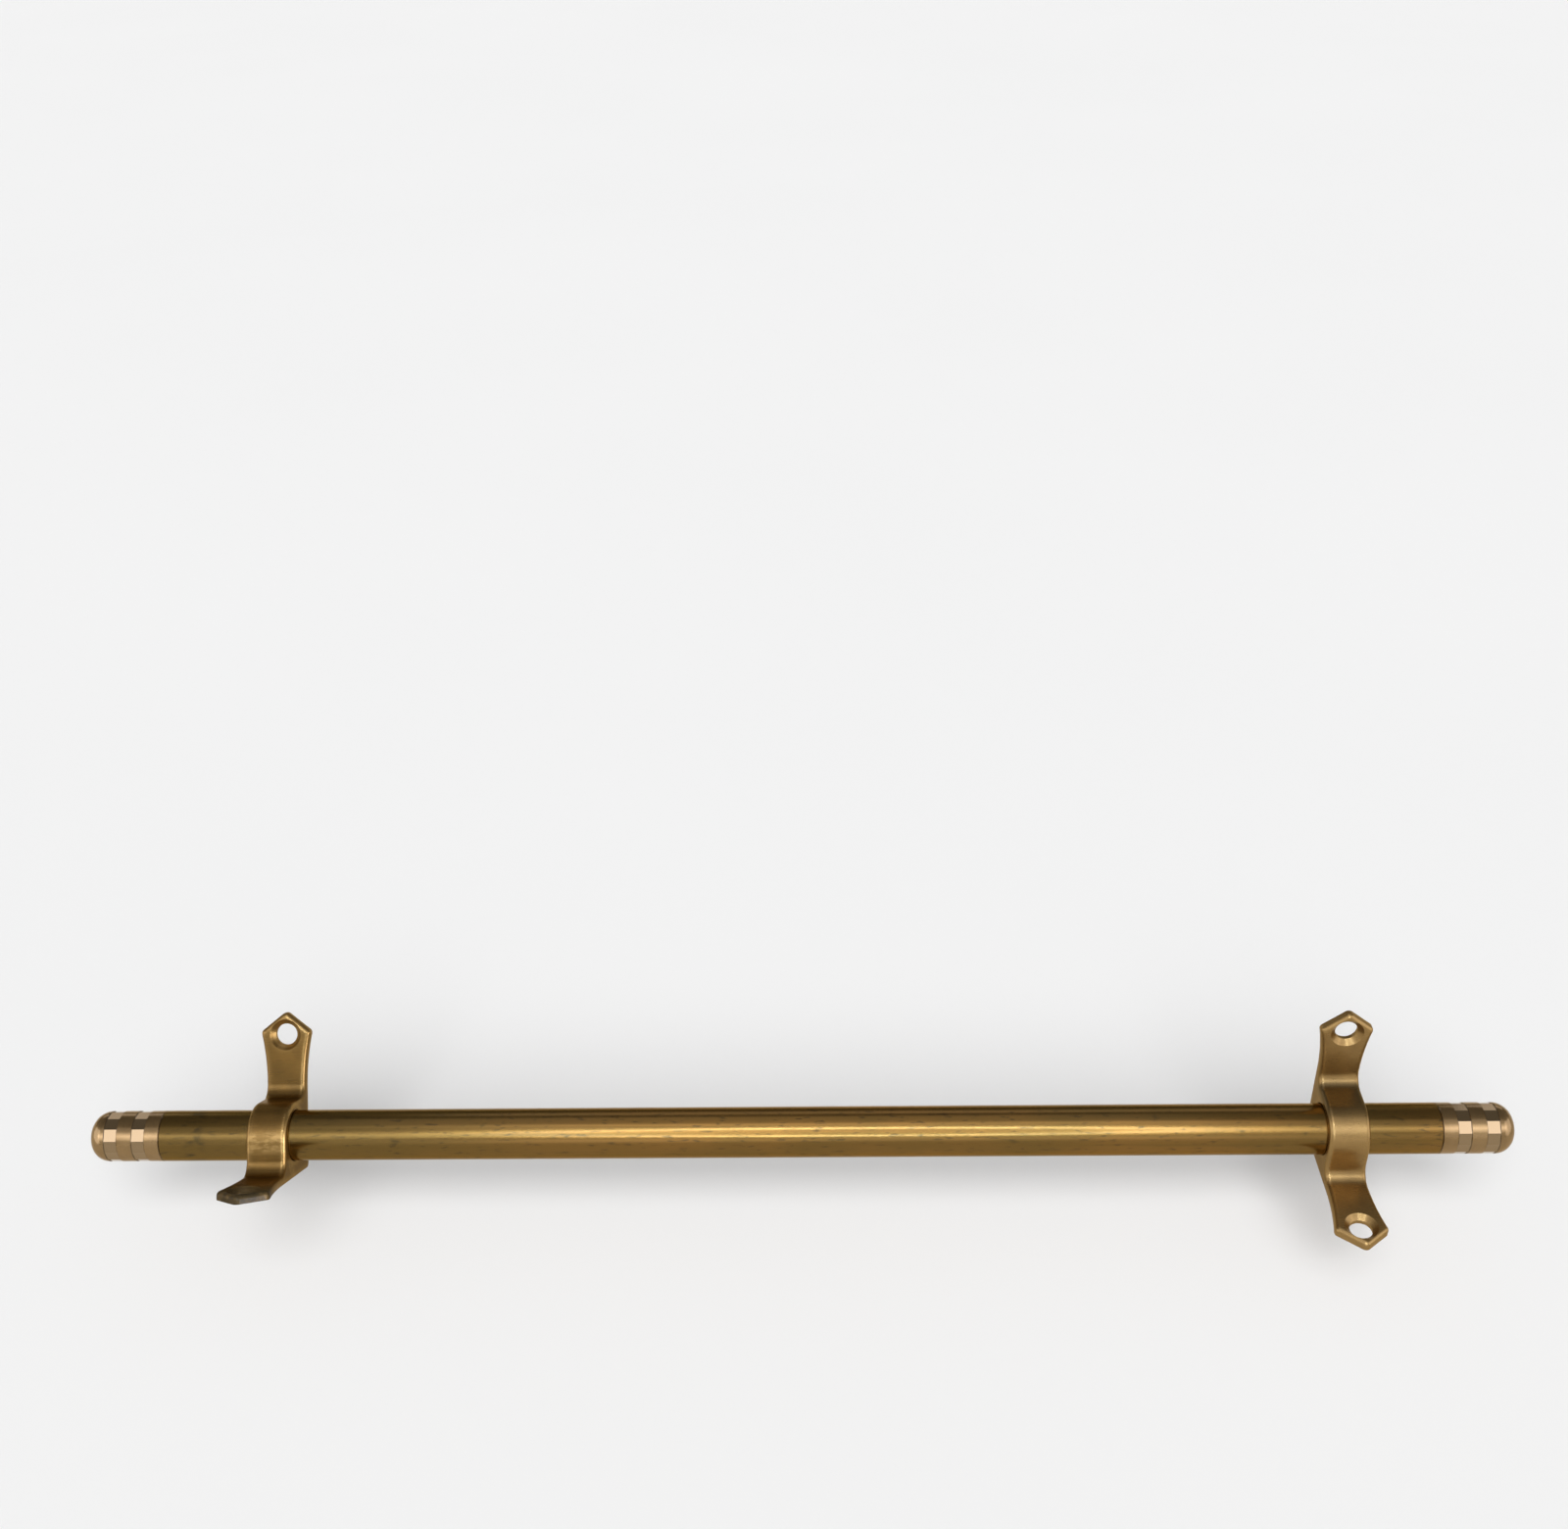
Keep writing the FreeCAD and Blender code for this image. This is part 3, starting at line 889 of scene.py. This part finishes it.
@dataclass(frozen=True)
class SoftBox:
    """A soft rectangular light round the rod. Where it names pieces, it lights only these."""

    name: str
    elevation_deg: float
    length: float
    width: float
    radiance: float
    across: float = 0.0
    sideways_deg: float = 0.0
    distance: float = 1.2
    colour: Colour = (0.77, 0.82, 1.0)
    only: tuple[Piece, ...] = ()

    def build(self) -> None:
        """Place the light by its angle over the front horizon and out to a side, and aim it at the rod."""
        rise = math.radians(self.elevation_deg)
        turn = math.radians(self.sideways_deg)
        front = Vector((0.0, -math.cos(rise), math.sin(rise)))
        away = front * math.cos(turn) + Vector((math.sin(turn), 0.0, 0.0))
        side = Vector((math.cos(turn), 0.0, 0.0)) - front * math.sin(turn)
        spot = away * self.distance + Vector((self.across, 0.0, 0.0))
        panel = Panel(self.name, self.length, self.width, self.radiance, self.colour)
        light = panel.hang(spot, side, away)
        if self.only:
            lit = bpy.data.collections.new(f"{self.name}_lit")
            for piece in self.only:
                lit.objects.link(bpy.data.objects[piece.value])
            light.light_linking.receiver_collection = lit


@dataclass(frozen=True)
class LampRing:
    """A ring of short soft lights round the camera's line of sight, dimmer at its left and right."""

    elevation_deg: float = 43.7
    across: float = 0.03
    half_length: float = 0.34
    half_height_deg: float = 17.5
    width: float = 0.065
    count: int = 12
    radiance: float = 27.0
    side_share: float = 0.4
    distance: float = 1.2
    colour: Colour = (0.62, 0.77, 1.0)

    def spot(self, turn: float) -> Vector:
        """A point of the ring.

        The ring is an ellipse on a cylinder about the rod: the cosine of the turn runs along X and its
        sine runs up the cylinder.

        Args:
            turn: Angle round the ring, in radians.

        Returns:
            The point in metres.
        """
        angle = math.radians(self.elevation_deg + self.half_height_deg * math.sin(turn))
        return Vector((
            self.across + self.half_length * math.cos(turn),
            -self.distance * math.cos(angle),
            self.distance * math.sin(angle),
        ))

    def build(self) -> None:
        """Lay one light along each side of the ring and aim it at the rod."""
        step = FULL_TURN / self.count
        for number in range(self.count):
            start = self.spot((number - 0.5) * step)
            stop = self.spot((number + 0.5) * step)
            middle = (start + stop) / 2
            share = self.side_share + (1.0 - self.side_share) * abs(math.sin(number * step))
            side = (stop - start).normalized()
            away = Vector((0.0, middle.y, middle.z))
            away = (away - side * away.dot(side)).normalized()
            length = (stop - start).length
            panel = Panel(f"ring_lamp_{number}", length, self.width, share * self.radiance, self.colour)
            panel.hang(middle, side, away)


@dataclass(frozen=True)
class SkyLight:
    """A very wide soft light from above that evens out the floor and stays out of the metal's gloss."""

    strength: float = 3.1
    spread_deg: float = 50.0
    elevation_deg: float = 46.0

    def build(self) -> None:
        """Shine from the front over the camera, so that the rod hides its own shadow."""
        lamp = bpy.data.lights.new("sky_light", "SUN")
        lamp.energy = self.strength
        lamp.angle = math.radians(self.spread_deg)
        light = bpy.data.objects.new("sky_light", lamp)
        light.rotation_euler = (math.radians(RIGHT_ANGLE_DEG - self.elevation_deg), 0.0, 0.0)
        light.visible_glossy = False
        bpy.context.scene.collection.objects.link(light)


@dataclass(frozen=True)
class Camera:
    """The camera at the photograph's place."""

    place: Triple = (0.013733, -0.393227, 0.395543)
    azimuth_deg: float = -1.959
    tilt_deg: float = 32.972
    roll_deg: float = -1.772
    lens_mm: float = 39.10
    sensor_mm: float = 36.0
    clip_start: float = 0.01

    def build(self) -> None:
        """Aim the camera by its azimuth, downward tilt and roll."""
        azimuth, tilt, roll = (math.radians(a) for a in (self.azimuth_deg, self.tilt_deg, self.roll_deg))
        ahead = Vector((
            math.sin(azimuth) * math.cos(tilt),
            math.cos(azimuth) * math.cos(tilt),
            -math.sin(tilt),
        ))
        level = Vector((math.cos(azimuth), -math.sin(azimuth), 0.0))
        upright = level.cross(ahead)
        right = level * math.cos(roll) + upright * math.sin(roll)
        up = upright * math.cos(roll) - level * math.sin(roll)
        data = bpy.data.cameras.new("photo_camera")
        data.sensor_fit = "HORIZONTAL"
        data.sensor_width = self.sensor_mm
        data.lens = self.lens_mm
        data.clip_start = self.clip_start
        camera = bpy.data.objects.new("photo_camera", data)
        axes = Matrix((right, up, -ahead)).transposed()
        camera.matrix_world = Matrix.Translation(self.place) @ axes.to_4x4()
        bpy.context.scene.collection.objects.link(camera)
        bpy.context.scene.camera = camera


@dataclass
class Studio:
    """Floor, lights, surround and camera."""

    floor_reach: float = 20.0
    floor_gap: float = 0.0002
    floor_points: int = 9
    horizon: float = 0.85
    zenith: float = 0.40
    back_share: float = 0.25
    backdrop: float = 0.90
    soft_boxes: tuple[SoftBox, ...] = (
        SoftBox("core_box", elevation_deg=43.0, length=4.0, width=0.24, radiance=1.55),
        SoftBox("glow_box", elevation_deg=41.5, length=4.0, width=0.60, radiance=0.45),
        SoftBox("wide_box", elevation_deg=55.0, length=4.0, width=1.25, radiance=0.55),
        SoftBox("halo_box", elevation_deg=68.0, across=0.03, length=0.8, width=0.80, radiance=1.0),
        SoftBox("top_box", elevation_deg=97.0, across=-0.08, length=0.9, width=1.00, radiance=0.7),
        SoftBox(
            "rear_box", elevation_deg=142.0, across=0.05, length=0.9, width=0.35, radiance=0.8,
            only=(Piece.TUBE,),
        ),
        SoftBox(
            "low_box", elevation_deg=11.0, across=0.10, length=1.6, width=0.45, radiance=0.45,
            only=(Piece.TUBE, Piece.CAP_LEFT, Piece.CAP_RIGHT, Piece.BRACKET_RIGHT),
        ),
        SoftBox(
            "left_glow", elevation_deg=27.0, across=-0.62, length=0.5, width=0.40, radiance=0.35,
            only=(Piece.TUBE,),
        ),
        SoftBox(
            "strap_box", elevation_deg=60.0, across=-0.53, length=0.5, width=0.45, radiance=1.0,
            only=(Piece.BRACKET_LEFT,),
        ),
        SoftBox("front_box", elevation_deg=12.0, across=0.05, length=0.8, width=0.30, radiance=0.7),
        SoftBox("back_left", elevation_deg=160.0, across=-0.93, length=0.6, width=0.35, radiance=1.2),
        SoftBox("back_right", elevation_deg=160.0, across=0.93, length=0.6, width=0.35, radiance=1.2),
        SoftBox(
            "edge_box", elevation_deg=15.0, sideways_deg=54.0, length=0.4, width=0.6, radiance=17.0,
            only=(Piece.BRACKET_LEFT,),
        ),
        SoftBox(
            "cap_box", elevation_deg=42.0, length=4.0, width=0.78, radiance=1.1,
            only=(Piece.CAP_LEFT, Piece.CAP_RIGHT),
        ),
        SoftBox("left_box", elevation_deg=41.5, sideways_deg=-74.0, length=0.9, width=0.9, radiance=1.8),
        SoftBox("right_box", elevation_deg=41.5, sideways_deg=74.0, length=0.9, width=0.9, radiance=1.8),
    )

    @staticmethod
    def bracket_sweep() -> float:
        """Radius of the circle that the feet of the left bracket sweep round the rod.

        Returns:
            The radius in metres.
        """
        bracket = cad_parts[Piece.BRACKET_LEFT.value]
        corners = np.empty(3 * len(bracket.data.vertices), np.float32)
        bracket.data.vertices.foreach_get("co", corners)
        pose = np.array(bracket.matrix_world)
        placed = corners.reshape(-1, 3) @ pose[:3, :3].T + pose[:3, 3]
        return float(np.hypot(placed[:, 1], placed[:, 2]).max())

    def build_floor(self) -> None:
        """Lay a flat square grid just under the circle that the feet of the left bracket sweep."""
        height = -self.bracket_sweep() - self.floor_gap
        side = np.linspace(-self.floor_reach, self.floor_reach, self.floor_points)
        x, y = np.meshgrid(side, side, indexing="ij")
        points = np.stack((x, y, np.full_like(x, height)), axis=-1).reshape(-1, 3)
        cells = np.arange(self.floor_points - 1)
        row, column = np.meshgrid(cells, cells, indexing="ij")
        first = row * self.floor_points + column
        above = first + self.floor_points
        faces = np.stack((first, above, above + 1, first + 1), axis=-1).reshape(-1, 4).tolist()
        floor = put_mesh("floor", points, faces)
        dress(floor, FloorPaper().material())

    def build_surround(self) -> None:
        """Surround the scene with grey that darkens from the horizon to the zenith and from front to back.

        The camera itself sees an even pale backdrop behind the floor.
        """
        world = bpy.data.worlds.new("surround")
        bpy.context.scene.world = world
        world.use_nodes = True
        nodes, links = world.node_tree.nodes, world.node_tree.links
        direction = nodes.new("ShaderNodeTexCoord").outputs["Generated"]
        parts = nodes.new("ShaderNodeSeparateXYZ")
        links.new(direction, parts.inputs[0])
        ramp = nodes.new("ShaderNodeMapRange")
        ramp.inputs["To Min"].default_value = self.horizon
        ramp.inputs["To Max"].default_value = self.zenith
        links.new(parts.outputs["Z"], ramp.inputs["Value"])
        depth = nodes.new("ShaderNodeMapRange")
        depth.inputs["From Min"].default_value = -1.0
        depth.inputs["To Min"].default_value = 1.0
        depth.inputs["To Max"].default_value = self.back_share
        links.new(parts.outputs["Y"], depth.inputs["Value"])
        product = nodes.new("ShaderNodeMath")
        product.operation = "MULTIPLY"
        links.new(ramp.outputs["Result"], product.inputs[0])
        links.new(depth.outputs["Result"], product.inputs[1])
        seen = nodes.new("ShaderNodeMix")
        links.new(nodes.new("ShaderNodeLightPath").outputs["Is Camera Ray"], seen.inputs["Factor"])
        links.new(product.outputs[0], seen.inputs["A"])
        seen.inputs["B"].default_value = self.backdrop
        links.new(seen.outputs["Result"], nodes["Background"].inputs["Strength"])
        nodes["Background"].inputs["Color"].default_value = WHITE

    def build(self) -> None:
        """Build the whole stage."""
        self.build_floor()
        self.build_surround()
        for box in self.soft_boxes:
            box.build()
        LampRing().build()
        SkyLight().build()
        Camera().build()
        bpy.context.scene.view_settings.view_transform = "Standard"


def main() -> None:
    """Build the rod, the brackets and the stage in order."""
    logging.basicConfig(level=logging.INFO, format="%(name)s %(message)s")
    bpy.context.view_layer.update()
    Rod().build()
    EyeBrackets().build()
    Studio().build()


if __name__ == "__main__":
    main()
